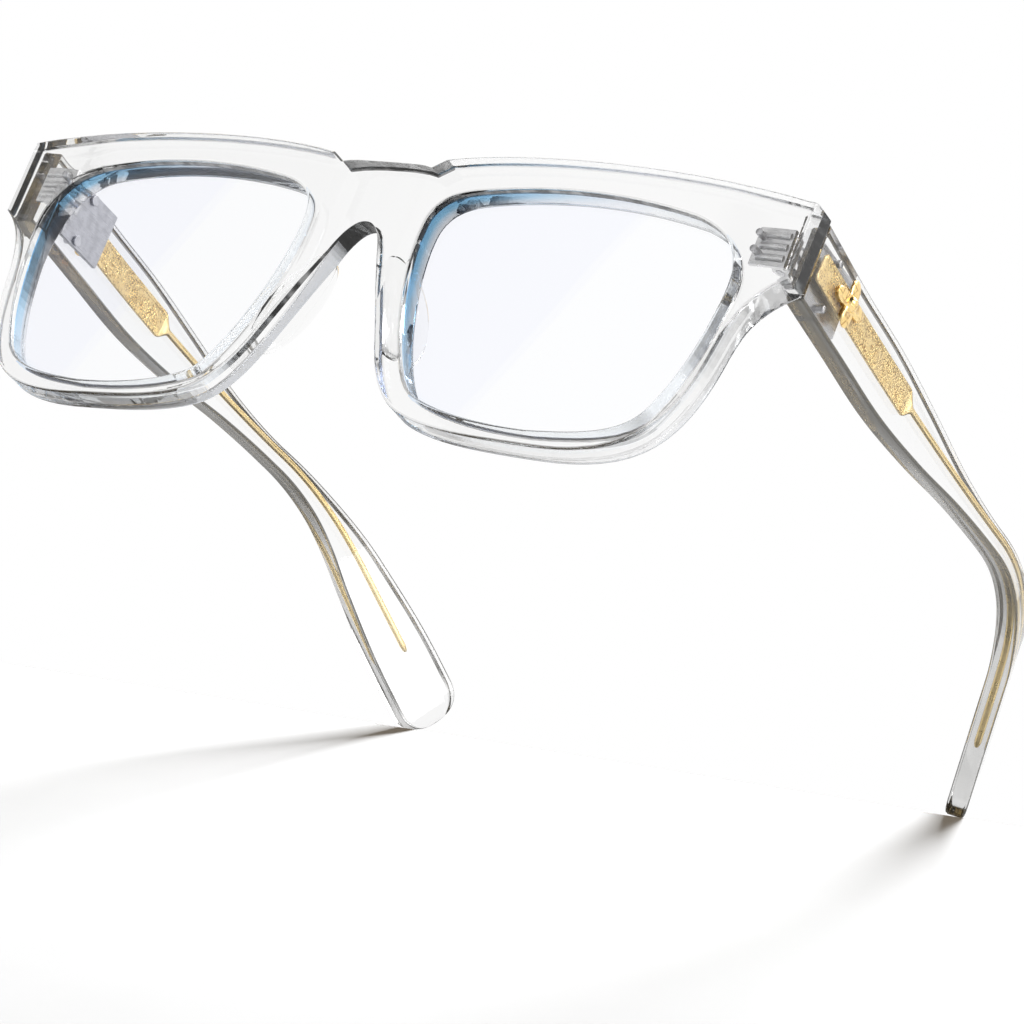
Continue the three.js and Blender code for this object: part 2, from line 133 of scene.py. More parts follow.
def remap(tree, value, low, high, toLow, toHigh, smooth=True):
    return addNode(tree, "ShaderNodeMapRange", {0: value, 1: low, 2: high, 3: toLow, 4: toHigh},
                   interpolation_type="SMOOTHSTEP" if smooth else "LINEAR").outputs[0]


def combineValues(tree, operation, *values, **settings):
    links = dict(enumerate(values))
    return addNode(tree, "ShaderNodeMath", links, operation=operation, **settings).outputs[0]


def mixColours(tree, share, first, second):
    links = {0: share}
    for socket, colour in ((6, first), (7, second)):
        links[socket] = colour if isinstance(colour, bpy.types.NodeSocket) else (*colour, 1)
    return addNode(tree, "ShaderNodeMix", links, data_type="RGBA").outputs[2]


def mixShaders(tree, share, first, second):
    return addNode(tree, "ShaderNodeMixShader", {0: share, 1: first, 2: second}).outputs[0]


def output(tree, surface, volume=None):
    node = addNode(tree, "ShaderNodeOutputMaterial", {"Surface": surface})
    if volume is not None:
        tree.links.new(volume, node.inputs["Volume"])


# Clear acetate: water-clear, polished by hand, so the gloss and the surface wave a little.
# The shade of a face is 1 where a sawn wall gets full painted shade, a dark reflection painted in, and below
# 0 where a wall can't be seen.
acetateLook = {
    "tint": (0.975, 0.975, 0.974), "ior": 1.49, "depthColour": (0.62, 0.615, 0.60),
    "paintedShadeRoughness": 0.14, "streakScale": 300.0, "shadowTint": (0.28, 0.235, 0.165),
    "waveScale": 160.0, "waveDepth": 0.00001, "waveStrength": 0.35, "polishScale": 1900.0,
}


def acetateMaterial(name, paintedShadeColour, stretch, depthDensity, ior=acetateLook["ior"]):
    material, tree = nodesOf(name)
    where = ownCoordinates(tree)
    wave = noise(tree, where, acetateLook["waveScale"], 1.0)
    polish = noise(tree, where, acetateLook["polishScale"], 4.0, 0.6)
    roughness = remap(tree, polish, 0.35, 0.75, 0.0, 0.035)
    bump = addNode(tree, "ShaderNodeBump", {
        "Strength": acetateLook["waveStrength"], "Distance": acetateLook["waveDepth"], "Height": wave,
    })
    body = addNode(tree, "ShaderNodeBsdfPrincipled", {
        "Base Color": (*acetateLook["tint"], 1), "Roughness": roughness, "IOR": ior,
        "Transmission Weight": 1.0, "Normal": bump.outputs[0],
    })
    paintedShadeLook = addNode(tree, "ShaderNodeBsdfPrincipled", {
        "Base Color": (*paintedShadeColour, 1), "Roughness": acetateLook["paintedShadeRoughness"],
        "Specular IOR Level": 0.3, "Normal": bump.outputs[0],
    })
    shade = addNode(tree, "ShaderNodeAttribute", attribute_name="shade").outputs["Fac"]
    drawn = ownCoordinates(tree, stretch)
    mottle = noise(tree, drawn, acetateLook["streakScale"], 3.0, 0.55, 0.4)
    streaks = remap(tree, mottle, 0.36, 0.60, 0.74, 1.0)
    # Painted shade: the shade attribute, broken by streaks, mixes in a dark satin surface that stands for
    # dark reflections in the walls.
    paintedShadeShare = combineValues(tree, "MULTIPLY", shade, streaks)
    polished = mixShaders(tree, paintedShadeShare, body.outputs[0], paintedShadeLook.outputs[0])
    unseen = addNode(tree, "ShaderNodeBsdfTransparent")
    unseenShare = combineValues(tree, "MULTIPLY", shade, -1.0, use_clamp=True)
    polished = mixShaders(tree, unseenShare, polished, unseen.outputs[0])
    clear = addNode(tree, "ShaderNodeBsdfTransparent", {"Color": (*acetateLook["shadowTint"], 1)})
    path = addNode(tree, "ShaderNodeLightPath")
    surface = mixShaders(tree, path.outputs["Is Shadow Ray"], polished, clear.outputs[0])
    depth = addNode(tree, "ShaderNodeVolumeAbsorption", {
        "Color": (*acetateLook["depthColour"], 1), "Density": depthDensity,
    })
    output(tree, surface, depth.outputs[0])
    return material


# Lens: a thin sheet with a blue-light coating, a faint painted lilac reflection on the brow side, and a blue
# edge of painted refracted blue
lensLook = {
    "lilac": (0.978, 0.981, 0.998), "clear": (0.999, 1.0, 1.0), "edgeBlue": (0.34, 0.68, 0.94),
    "lilacSlope": -2.2, "lilacBow": 0.006, "reflection": (0.62, 0.72, 1.0), "gloss": 0.012, "rimGloss": 0.14,
}


def lensMaterial(name, side):
    material, tree = nodesOf(name)
    where = ownCoordinates(tree)
    axes = addNode(tree, "ShaderNodeSeparateXYZ", {"Vector": where})
    middle = side * front["openingCentre"] * mm
    # Painted reflection: a soft diagonal boundary, lilac on the brow side and clear below.
    acrossLens = combineValues(tree, "SUBTRACT", axes.outputs[0], middle)
    slanted = combineValues(tree, "MULTIPLY_ADD", acrossLens, lensLook["lilacSlope"], axes.outputs[2])
    drift = noise(tree, where, 30.0, 1.0)
    bowed = combineValues(tree, "MULTIPLY_ADD", drift, lensLook["lilacBow"], slanted)
    paintedLilacShare = remap(tree, bowed, 0.0248, 0.0275, 0.0, 1.0)
    paintedLilacTint = mixColours(tree, paintedLilacShare, lensLook["clear"], lensLook["lilac"])
    # Painted refracted blue: the band next to the rim is tinted blue, most strongly toward the brow.
    edge = addNode(tree, "ShaderNodeAttribute", attribute_name="edge").outputs["Fac"]
    towardBrow = remap(tree, slanted, 0.030, 0.100, 0.05, 1.0)
    edgeShare = combineValues(tree, "MULTIPLY", edge, towardBrow)
    tint = mixColours(tree, edgeShare, paintedLilacTint, lensLook["edgeBlue"])
    clear = addNode(tree, "ShaderNodeBsdfTransparent", {"Color": tint})
    wipe = noise(tree, where, 900.0, 3.0)
    roughness = remap(tree, wipe, 0.3, 0.8, 0.015, 0.05)
    sheen = addNode(tree, "ShaderNodeBsdfGlossy", {
        "Color": (*lensLook["reflection"], 1), "Roughness": roughness,
    })
    facing = addNode(tree, "ShaderNodeLayerWeight", {"Blend": 0.3}).outputs["Facing"]
    gloss = remap(tree, facing, 0.0, 1.0, lensLook["gloss"], lensLook["rimGloss"])
    output(tree, mixShaders(tree, gloss, clear.outputs[0], sheen.outputs[0]))
    return material


# Gold plate with an engraved scroll pattern, brighter on the high parts and darker where it is cut
goldLook = {
    "drift": 0.0006, "lineShare": 0.6, "wearScale": 260.0, "worn": (1.0, 0.88, 0.62), "cutDepth": 0.00012,
}


def goldMaterial(name, bright, deep, patternScale, cut, roughness=(0.2, 0.42)):
    material, tree = nodesOf(name)
    where = ownCoordinates(tree)
    swirl = noise(tree, where, patternScale * 0.45, 2.0, 0.5, 1.4)
    drift = addNode(tree, "ShaderNodeTexNoise", {"Vector": where, "Scale": patternScale * 0.5})
    shifted = addNode(tree, "ShaderNodeMix", {
        0: goldLook["drift"], 4: where, 5: drift.outputs["Color"],
    }, data_type="VECTOR").outputs[1]
    links = {"Vector": shifted, "Scale": patternScale}
    cells = addNode(tree, "ShaderNodeTexVoronoi", links, feature="DISTANCE_TO_EDGE").outputs[0]
    lines = remap(tree, cells, 0.03, 0.16, 0.0, 1.0)
    speckle = remap(tree, swirl, 0.35, 0.65, 0.0, 1.0)
    lineShare = combineValues(tree, "MULTIPLY", lines, goldLook["lineShare"])
    carved = combineValues(tree, "MULTIPLY_ADD", speckle, 1 - goldLook["lineShare"], lineShare)
    plain = addNode(tree, "ShaderNodeAttribute", attribute_name="plain").outputs["Fac"]
    relief = combineValues(tree, "MAXIMUM", carved, plain)
    wear = noise(tree, where, goldLook["wearScale"], 4.0, 0.6)
    colour = mixColours(tree, remap(tree, relief, 0.08, 0.42, 0.0, 1.0), deep, bright)
    worn = mixColours(tree, remap(tree, wear, 0.4, 0.7, 0.0, 0.3), colour, goldLook["worn"])
    bump = addNode(tree, "ShaderNodeBump", {
        "Strength": cut, "Distance": goldLook["cutDepth"], "Height": relief,
    })
    metal = addNode(tree, "ShaderNodeBsdfPrincipled", {
        "Base Color": worn, "Metallic": 1.0,
        "Roughness": remap(tree, wear, 0.3, 0.7, *roughness), "Normal": bump.outputs[0],
    })
    output(tree, metal.outputs[0])
    return material


# Nickel silver, drawn along one axis
def steelMaterial(name, drawn, colour):
    material, tree = nodesOf(name)
    streaks = noise(tree, ownCoordinates(tree, drawn), 1.0, 4.0, 0.6)
    spots = noise(tree, ownCoordinates(tree), 700.0, 3.0)
    spotted = [c * 0.82 for c in colour]
    shade = mixColours(tree, remap(tree, spots, 0.35, 0.7, 0.0, 1.0), colour, spotted)
    bump = addNode(tree, "ShaderNodeBump", {"Strength": 0.4, "Distance": 0.00002, "Height": streaks})
    metal = addNode(tree, "ShaderNodeBsdfPrincipled", {
        "Base Color": shade, "Metallic": 1.0,
        "Roughness": remap(tree, streaks, 0.3, 0.7, 0.22, 0.45), "Normal": bump.outputs[0],
    })
    output(tree, metal.outputs[0])
    return material


# The first colour of each acetate is its painted shade colour, the dark satin used on its sawn walls.
acetateFront = acetateMaterial("clearAcetateFront", (0.016, 0.016, 0.016), (1, 0.25, 1), 14.0)
acetateTemple = acetateMaterial("clearAcetateTemple", (0.125, 0.12, 0.108), (1, 0.06, 0.4), 14.0)
acetatePad = acetateMaterial("clearAcetatePad", (0.03, 0.03, 0.03), (1, 1, 1), 10.0, 1.16)
goldEngraved = goldMaterial("goldEngraved", (1.0, 0.77, 0.36), (0.42, 0.24, 0.07), 2000.0, 0.4)
goldOrnament = goldMaterial(
    "goldOrnament", (0.96, 0.70, 0.30), (0.55, 0.32, 0.10), 700.0, 0.35, (0.14, 0.3))
steelLeaf = steelMaterial("drawnSteel", (300, 300, 9000), (0.78, 0.78, 0.79))
steelTemple = steelMaterial("satinSteel", (300, 300, 9000), (0.52, 0.52, 0.54))
steelPin = steelMaterial("turnedSteel", (6000, 6000, 500), (0.6, 0.6, 0.62))
print("materials made")


# Making and placing pieces
def smoothStep(value, low, high):
    t = min(max((value - low) / (high - low), 0), 1)
    return t * t * (3 - 2 * t)


def sideWord(side):
    return "left" if side > 0 else "right"


def quarterTurn(axis):
    return Matrix.Rotation(math.radians(90), 4, axis)


def moveAll(bm, matrix):
    bmesh.ops.transform(bm, matrix=matrix, verts=bm.verts)


def bevelEdges(bm, edges, width, segments=2):
    bmesh.ops.bevel(bm, geom=edges, offset=width, segments=segments, affect="EDGES", profile=0.5, material=-1)


# Cuts along a plane and gives back the edges of the cut. With clear, what lies behind the plane goes.
def slicePlane(bm, at, normal, clear=False):
    everything = bm.verts[:] + bm.edges[:] + bm.faces[:]
    cut = bmesh.ops.bisect_plane(bm, geom=everything, plane_co=at, plane_no=normal,
                                 clear_inner=clear, dist=1e-4)
    return [item for item in cut["geom_cut"] if isinstance(item, bmesh.types.BMEdge)]


def meshObject(bm, name, smoothAngle=32):
    bmesh.ops.remove_doubles(bm, verts=bm.verts, dist=1e-4)
    bmesh.ops.recalc_face_normals(bm, faces=bm.faces)
    for face in bm.faces:
        face.smooth = True
    for edge in bm.edges:
        edge.smooth = edge.calc_face_angle(0) < math.radians(smoothAngle)
    mesh = bpy.data.meshes.new(name)
    bm.to_mesh(mesh)
    bm.free()
    obj = bpy.data.objects.new(name, mesh)
    bpy.context.scene.collection.objects.link(obj)
    return obj


# side is 1 on the wearer's left and -1 on the right
def settle(obj, material, body, nodes, side=1):
    obj.data.transform(place if side > 0 else mirrorX @ place)
    if side < 0:
        obj.data.flip_normals()
    obj.data.materials.clear()
    obj.data.materials.append(material)
    weighted = obj.modifiers.new("evenShading", "WEIGHTED_NORMAL")
    weighted.keep_sharp = True
    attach(obj, body)
    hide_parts(*nodes)
    return obj


def evaluated(obj):
    bpy.context.view_layer.update()
    return bpy.data.meshes.new_from_object(obj.evaluated_get(bpy.context.evaluated_depsgraph_get()))


def combine(obj, other, operation):
    change = obj.modifiers.new("combine", "BOOLEAN")
    change.operation = operation
    change.solver = "MANIFOLD"
    change.object = other
    mesh = evaluated(obj)
    obj.modifiers.clear()
    obj.data = mesh
    bpy.data.objects.remove(other)
    return obj


def bmeshOf(obj):
    bm = bmesh.new()
    bm.from_mesh(obj.data)
    bpy.data.objects.remove(obj)
    return bm


# A closed loop of cubic curves in X and Z, filled and drawn back along Y with rounded edges
def curveSlab(name, loops, fromY, toY, rounding, fineness=14):
    data = bpy.data.curves.new(name, "CURVE")
    data.dimensions = "2D"
    data.fill_mode = "BOTH"
    data.resolution_u = fineness
    data.extrude = (toY - fromY) / 2 - rounding
    data.bevel_depth = rounding
    data.bevel_resolution = 3
    data.offset = -rounding
    for loop in loops:
        spline = data.splines.new("BEZIER")
        spline.bezier_points.add(len(loop) - 1)
        spline.use_cyclic_u = True
        for point, (before, at, after) in zip(spline.bezier_points, loop):
            point.handle_left_type = point.handle_right_type = "FREE"
            point.co = (*at, 0)
            point.handle_left = (*before, 0)
            point.handle_right = (*after, 0)
    drawn = bpy.data.objects.new(name, data)
    bpy.context.scene.collection.objects.link(drawn)
    mesh = evaluated(drawn)
    bpy.data.objects.remove(drawn)
    bm = bmesh.new()
    bm.from_mesh(mesh)
    bmesh.ops.remove_doubles(bm, verts=bm.verts, dist=1e-4)
    moveAll(bm, Matrix.Translation((0, (fromY + toY) / 2, 0)) @ quarterTurn("X"))
    bmesh.ops.recalc_face_normals(bm, faces=bm.faces)
    return bm


# Knots of a cubic path: each step holds two handles and an end point. The last step may close the loop.
def knots(start, steps, closed=True):
    points = [[start, start, start]]
    for handleOut, handleIn, end in steps:
        points[-1][2] = handleOut
        points.append([handleIn, end, end])
    if closed:
        points[0][0] = points[-1][0]
        points.pop()
    return points


def straight(a, b):
    return ((a[0] * 2 + b[0]) / 3, (a[1] * 2 + b[1]) / 3), ((a[0] + b[0] * 2) / 3, (a[1] + b[1] * 2) / 3), b


def curved(a, handle, b):
    first = tuple((a[i] + 2 * handle[i]) / 3 for i in (0, 1))
    second = tuple((b[i] + 2 * handle[i]) / 3 for i in (0, 1))
    return first, second, b


def mirrorKnots(points):
    return [[(-p[0], p[1]) for p in reversed(knot)] for knot in reversed(points)]


def wrapAt(x):
    return x * x / (2 * front["wrapRadius"])


# Narrow strips let the flat slab bend; the small shift keeps a cut off the middle
def cutStrips(bm):
    steps = int(front["halfWidth"] / front["strip"])
    for index in range(-steps, steps + 1):
        slicePlane(bm, (index * front["strip"] + 0.013, 0, 0), (1, 0, 0))


def wrap(bm):
    for vert in bm.verts:
        vert.co.y += wrapAt(vert.co.x)


# Front
def openingKnots():
    left = front["openingCentre"] - front["openingHalfWidth"]
    right = front["openingCentre"] + front["openingHalfWidth"]
    middle, top, bottom = front["openingCentre"], front["openingTop"], front["openingBottom"]
    return knots((left + 0.2, 12), [
        ((left + 0.6, 16.2), (left + 3.6, 17.6), (left + 8, 18.4)),
        ((left + 20, top + 0.6), (right - 20, top + 0.6), (right - 8.5, 18.4)),
        ((right - 2.4, 16.6), (right + 0.4, 13.4), (right, 6.5)),
        ((right - 0.7, -2), (right - 2.4, -9), (right - 5.4, -14.2)),
        ((right - 8, -18.2), (right - 14, -19.2), (middle + 4, bottom)),
        ((middle - 6, bottom - 0.2), (left + 13.5, -18.6), (left + 9.6, -16.6)),
        ((left + 5.2, -13.8), (left - 0.6, 3), (left + 0.2, 12)),
    ])


def frontKnots():
    width, top, bottom = front["halfWidth"], front["bridgeTop"], front["rimBottom"]
    shoulder, rim = (8.3, top - 0.8), (10.6, top + 0.8)
    corner, endLow = (width, front["endTop"]), (width - 0.2, front["endBottom"])
    half = knots((0, top), [
        curved((0, top), (5, top), shoulder),
        straight(shoulder, rim),
        ((23, front["browHeight"]), (52, front["browHeight"] + 0.6), corner),
        straight(corner, endLow),
        ((68.4, 7.2), (66.9, 3), (66.1, -2.5)),
        ((65.1, -9.5), (63.2, -14.4), (60, -17.5)),
        ((56.9, -20.5), (52, bottom), (42, bottom)),
        ((33, bottom), (25.5, -22.4), (19.8, -20.2)),
        ((15.6, -18.5), (12.9, -14), (11.2, -9.8)),
        ((9.6, -5.8), (6.4, 2), (4.6, 6.2)),
        ((3.4, 9.6), (2, front["archTop"]), (0, front["archTop"])),
    ], closed=False)
    other = mirrorKnots(half)
    half[0][0] = other[-1][0]
    half[-1][2] = other[0][2]
    return half + other[1:-1]


def boxBmesh(low, high, bevel=0.0, segments=2):
    bm = bmesh.new()
    bmesh.ops.create_cube(bm, size=1)
    centre = [(a + b) / 2 for a, b in zip(low, high)]
    size = [b - a for a, b in zip(low, high)]
    bmesh.ops.scale(bm, vec=size, verts=bm.verts)
    bmesh.ops.translate(bm, vec=centre, verts=bm.verts)
    if bevel:
        bevelEdges(bm, bm.edges[:], bevel, segments)
    return bm


def discBmesh(radius, length, centre, axis="Z", segments=32, bevel=0.0):
    bm = bmesh.new()
    bmesh.ops.create_cone(bm, cap_ends=True, segments=segments,
                          radius1=radius, radius2=radius, depth=length)
    if bevel:
        rims = [edge for edge in bm.edges if abs(edge.verts[0].co.z - edge.verts[1].co.z) < 1e-6]
        bevelEdges(bm, rims, bevel)
    turn = {"Z": Matrix(), "Y": quarterTurn("X"), "X": quarterTurn("Y")}[axis]
    moveAll(bm, Matrix.Translation(centre) @ turn)
    return bm


# Sawn walls get painted shade, a dark reflection painted in, where they stand square to the face: full at the
# ends, the arch and the nose walls. The groove walls behind a lens and the lower rims stay clear.
wallShade = {
    "end": 1.0, "arch": 1.0, "nose": 1.0, "brow": 0.85, "temple": 0.7, "bridgeTop": 0.9,
    "cheekLine": 0.55, "line": 0.12, "wall": 0.0, "behindLens": -0.8, "clearRim": -0.6,
}
wallZone = {
    "archHalfWidth": 6, "archTop": 14, "noseReach": 17, "noseTop": 12, "noseFade": (-19, -12),
    "archFade": (5, 10), "bridgeReach": 11, "bridgeBottom": 20, "cheekTop": -8, "browBottom": 10,
    "endWidth": 1.2, "lugReach": 60, "lugBottom": 9.8, "rimTop": -6, "templeFade": (-8, -1),
}


def frontShade(at, normal):
    outward = normal.x * (1 if at.x > 0 else -1)
    x, z = abs(at.x), at.z
    square = abs(normal.y) < 0.5
    inOpening = (x < front["openingCentre"] + front["openingHalfWidth"] + 0.6
                 and z > front["openingBottom"] - 1.5)
    nasal = x < front["openingCentre"]
    behind = at.y > front["lensFront"]
    if abs(normal.y) > 0.93:
        return 0.0
    if x > front["halfWidth"] - wallZone["endWidth"] and outward > 0.6:
        return wallShade["end" if at.y > front["endLight"] else "behindLens"]
    if x < wallZone["archHalfWidth"] and normal.z < -0.4 and z < wallZone["archTop"]:
        return wallShade["arch"]
    if x < wallZone["noseReach"] and outward < -0.3 and z < wallZone["noseTop"] and square:
        fade = wallZone["noseFade"] if at.y < front["lensFront"] else wallZone["archFade"]
        return wallShade["nose"] * smoothStep(z, *fade)
    if x < wallZone["bridgeReach"] and normal.z > 0.3 and z > wallZone["bridgeBottom"]:
        return wallShade["bridgeTop"]
    if inOpening and normal.z > 0.3 and z < wallZone["cheekTop"] and abs(normal.y) > 0.2:
        return wallShade["cheekLine"]
    underLug = x > wallZone["lugReach"] and outward > 0.3 and z < wallZone["lugBottom"] and not inOpening
    if square and (underLug or (normal.z < -0.25 and z < wallZone["rimTop"])):
        return wallShade["clearRim"]
    if abs(normal.y) > 0.3:
        return wallShade["line"]
    if inOpening and normal.z < -0.4 and z > wallZone["browBottom"]:
        return wallShade["brow"] if at.y < front["lensFront"] else wallShade["behindLens"]
    if inOpening and outward > 0.3 and nasal and behind:
        return wallShade["behindLens"]
    if inOpening and outward < -0.5 and x > front["openingCentre"] and behind:
        return wallShade["temple"] * smoothStep(z, *wallZone["templeFade"])
    return wallShade["wall"]


opening = openingKnots()
loops = [frontKnots(), opening, mirrorKnots(opening)]
slab = curveSlab("frontSlab", loops, 0, front["depth"], front["rounding"])
frontObject = meshObject(slab, "frontSlab")
halfChord, sagitta = front["recessHalfWidth"], front["recessDepth"]
recessRadius = (halfChord ** 2 + sagitta ** 2) / (2 * sagitta)
recess = discBmesh(recessRadius, 60, (0, front["recessDepth"] - recessRadius, 8), segments=96)
combine(frontObject, meshObject(recess, "recess"), "DIFFERENCE")
bm = bmeshOf(frontObject)
cutStrips(bm)
for depth in (front["lensFront"], front["endLight"]):
    slicePlane(bm, (0, depth, 0), (0, 1, 0))
bm.normal_update()
shadeLayer = bm.loops.layers.float.new("shade")
# Painted shade for the sawn walls, one value per face.
for face in bm.faces:
    value = frontShade(face.calc_center_median(), face.normal)
    for loop in face.loops:
        loop[shadeLayer] = value
extraDepth = front["endpieceDepth"] - front["depth"]
for vert in bm.verts:  # the endpieces grow thicker towards the hinge
    share = smoothStep(abs(vert.co.x), 56, 66) * smoothStep(vert.co.z, 2, 11)
    vert.co.y += extraDepth * share * vert.co.y / front["depth"]
wrap(bm)
frontAcetate = meshObject(bm, "front_acetate")
for face in frontAcetate.data.polygons:  # the flutes of the bridge stay crisp
    if face.normal.y < -0.9 and abs(face.center.x) < front["recessHalfWidth"] and 0.03 < face.center.y < 2:
        face.use_smooth = False
settle(frontAcetate, acetateFront, "front", ["front_frame"])
print("front:", len(frontAcetate.data.polygons), "faces")


# Lenses and nose pads
lensSizes = {"thickness": 1.8, "setback": 1.4, "inGroove": 0.6, "edgeBand": 1.8}
pad = {"size": (2.9, 5.2, 9.4), "turnZ": -0.35, "turnY": -0.39, "x": 9.7, "behind": 0.4, "z": -1.4}


def lensPiece(side):
    low = lensSizes["setback"]
    data = curveSlab("lensSlab", [openingKnots()], low, low + lensSizes["thickness"], 0.0)
    for vert in data.verts:  # out into the groove
        away = Vector((vert.co.x - front["openingCentre"], 0, vert.co.z))
        vert.co += away.normalized() * lensSizes["inGroove"]
    flats = [face for face in data.faces if abs(face.normal.y) > 0.9]
    bmesh.ops.dissolve_faces(data, faces=[face for face in flats if face.normal.y > 0])
    flats = [face for face in data.faces if face.normal.y < -0.9]
    bmesh.ops.dissolve_faces(data, faces=flats)
    layer = data.verts.layers.float.new("edge")
    for vert in data.verts:
        vert[layer] = 1.0
    for direction in (1, -1):
        for ring in range(3):
            face = max((f for f in data.faces if f.normal.y * direction > 0.9), key=lambda f: f.calc_area())
            width = lensSizes["edgeBand"] / 3
            bmesh.ops.inset_region(data, faces=[face], thickness=width, use_even_offset=True)
            face = max((f for f in data.faces if f.normal.y * direction > 0.9), key=lambda f: f.calc_area())
            for vert in face.verts:
                vert[layer] = (0.5, 0.15, 0.0)[ring]
    large = [face for face in data.faces if len(face.verts) > 4]
    bmesh.ops.triangulate(data, faces=large)
    cutStrips(data)
    wrap(data)
    word = sideWord(side)
    obj = meshObject(data, "lens_coated_" + word)
    look = lensMaterial("coatedLens" + word.capitalize(), side)
    return settle(obj, look, "front", ["lens_" + word], side)


def padPiece(side):
    bm = bmesh.new()
    bmesh.ops.create_uvsphere(bm, u_segments=56, v_segments=36, radius=1)
    bmesh.ops.scale(bm, vec=pad["size"], verts=bm.verts)
    turn = Matrix.Rotation(pad["turnY"], 4, "Y") @ Matrix.Rotation(pad["turnZ"], 4, "Z")
    moveAll(bm, Matrix.Translation((pad["x"], front["depth"] + pad["behind"], pad["z"])) @ turn)
    seat = (0, front["depth"] + wrapAt(13) + hingeSizes["gap"], 0)
    bmesh.ops.holes_fill(bm, edges=slicePlane(bm, seat, (0, 1, 0), True))
    word = sideWord(side)
    obj = meshObject(bm, "nose_pad_clear_" + word)
    return settle(obj, acetatePad, "front", ["nose_pad_" + word], side)


for side in (1, -1):
    lensPiece(side)
    padPiece(side)
print("lenses and nose pads made")


# Temples and cores, swept along one centre line
def centreLinePoints():
    start = Vector((temple["centreX"], endpieceBack + temple["endGap"], hingeSizes["centreZ"]))
    drop, inward = temple["drop"], temple["inward"]
    tip = Vector((-math.sin(inward) * math.cos(drop), math.cos(inward) * math.cos(drop), -math.sin(drop)))
    bend = Vector((temple["centreX"] - 0.4, temple["bendDistance"], hingeSizes["centreZ"] - 3.3))
    before = Vector((temple["centreX"] + 0.3, temple["bendDistance"] - 16.5, hingeSizes["centreZ"] - 3.8))
    after = bend + tip * 15
    first = Vector((temple["centreX"] + 0.8, (start.y + before.y) / 2, hingeSizes["centreZ"] - 4.4))
    points = []
    for a, b, c in ((start, first, before), (before, bend, after)):
        for index in range(240):
            t = index / 240
            points.append(a * (1 - t) ** 2 + b * 2 * t * (1 - t) + c * t * t)
    end = bend + tip * temple["tipLength"]
    return points + [after.lerp(end, index / 60) for index in range(61)]


linePoints = centreLinePoints()
lineLengths = [0.0]
for a, b in zip(linePoints, linePoints[1:]):
    lineLengths.append(lineLengths[-1] + (b - a).length)
templeLength = lineLengths[-1]


def onLine(distance):
    inside = min(max(distance, 0), templeLength)
    low, high = 0, len(lineLengths) - 1
    while high - low > 1:
        index = (low + high) // 2
        if lineLengths[index] > inside:
            high = index
        else:
            low = index
    share = (inside - lineLengths[low]) / (lineLengths[high] - lineLengths[low])
    before = linePoints[max(low - 2, 0)]
    after = linePoints[min(high + 2, len(linePoints) - 1)]
    along = (after - before).normalized()
    return linePoints[low].lerp(linePoints[high], share) + along * (distance - inside), along


# Heights at even steps from the hinge to the tip
templeHeights = [
    temple["height"], temple["height"] - 0.7, temple["height"] - 0.9,
    (temple["height"] + temple["waist"]) / 2 + 0.8,
    temple["waist"] + 1.4, temple["waist"], temple["waist"] + 1.3,
    temple["tipHeight"] - 3.2, temple["tipHeight"] - 0.2, temple["tipHeight"],
]


def templeHeightAt(distance):
    where = min(max(distance / templeLength, 0), 1) * (len(templeHeights) - 1)
    index = min(int(where), len(templeHeights) - 2)
    t = where - index
    a, b, c, d = (templeHeights[min(max(index + k, 0), len(templeHeights) - 1)] for k in (-1, 0, 1, 2))
    v0, v1 = (c - a) / 2, (d - b) / 2
    return (2 * b - 2 * c + v0 + v1) * t ** 3 + (-3 * b + 3 * c - 2 * v0 - v1) * t * t + v0 * t + b


def templeSection(distance):
    share = min(max(templeLength - distance, 0) / temple["tipRounding"], 1)
    closing = max((1 - (1 - share) ** 2.4) ** (1 / 2.4), 0.1)
    halfWidth = temple["thickness"] / 2 * (0.3 + 0.7 * closing)
    return halfWidth, templeHeightAt(distance) / 2 * closing, 0.0, min(temple["rounding"], halfWidth * 0.6)


coreEnd = templeLength - core["endInset"]


def coreSection(distance):
    narrow = smoothStep(distance, core["plateLength"], core["plateLength"] + core["shoulder"])
    width = core["plateWidth"] + (core["wireWidth"] - core["plateWidth"]) * narrow
    depth = core["thickness"] + (core["wireWidth"] - core["thickness"]) * narrow
    closing = 0.3 + 0.7 * min(max((coreEnd - distance) / core["wireWidth"], 0), 1) ** 0.5
    closing *= 0.75 + 0.25 * smoothStep(distance, core["start"], core["start"] + core["startLength"])
    halfWidth, halfHeight = depth / 2 * closing, width / 2 * closing
    return halfWidth, halfHeight, core["rise"], halfWidth * (0.35 + 0.55 * narrow)


# One section: a rounded oblong of four corners, seven points each. An engraved one sinks between its rims.
def sectionPoints(halfWidth, halfHeight, corner, sunk=0.0, rim=0.0):
    points = []
    for quarter, (sideX, sideZ) in enumerate(((1, 1), (-1, 1), (-1, -1), (1, -1))):
        for step in range(7):
            angle = math.radians(quarter * 90 + step * 15)
            x = sideX * (halfWidth - corner) + corner * math.cos(angle)
            z = sideZ * (halfHeight - corner) + corner * math.sin(angle)
            points.append((x, z))
        if quarter in (0, 2):
            continue
        inner = max(halfHeight - corner - rim, 0.05)
        deep = sunk * smoothStep(halfHeight, core["wireWidth"], core["plateWidth"] / 2)
        floorX, floorZ = halfWidth - deep, inner - 0.04
        for z, x in ((inner, halfWidth), (floorZ, floorX), (-floorZ, floorX), (-inner, halfWidth)):
            points.append((sideX * x, z * (1 if sideX < 0 else -1)))
    return points


def partner(vert, fresh):
    return next(edge.other_vert(vert) for edge in vert.link_edges if edge.other_vert(vert) in fresh)


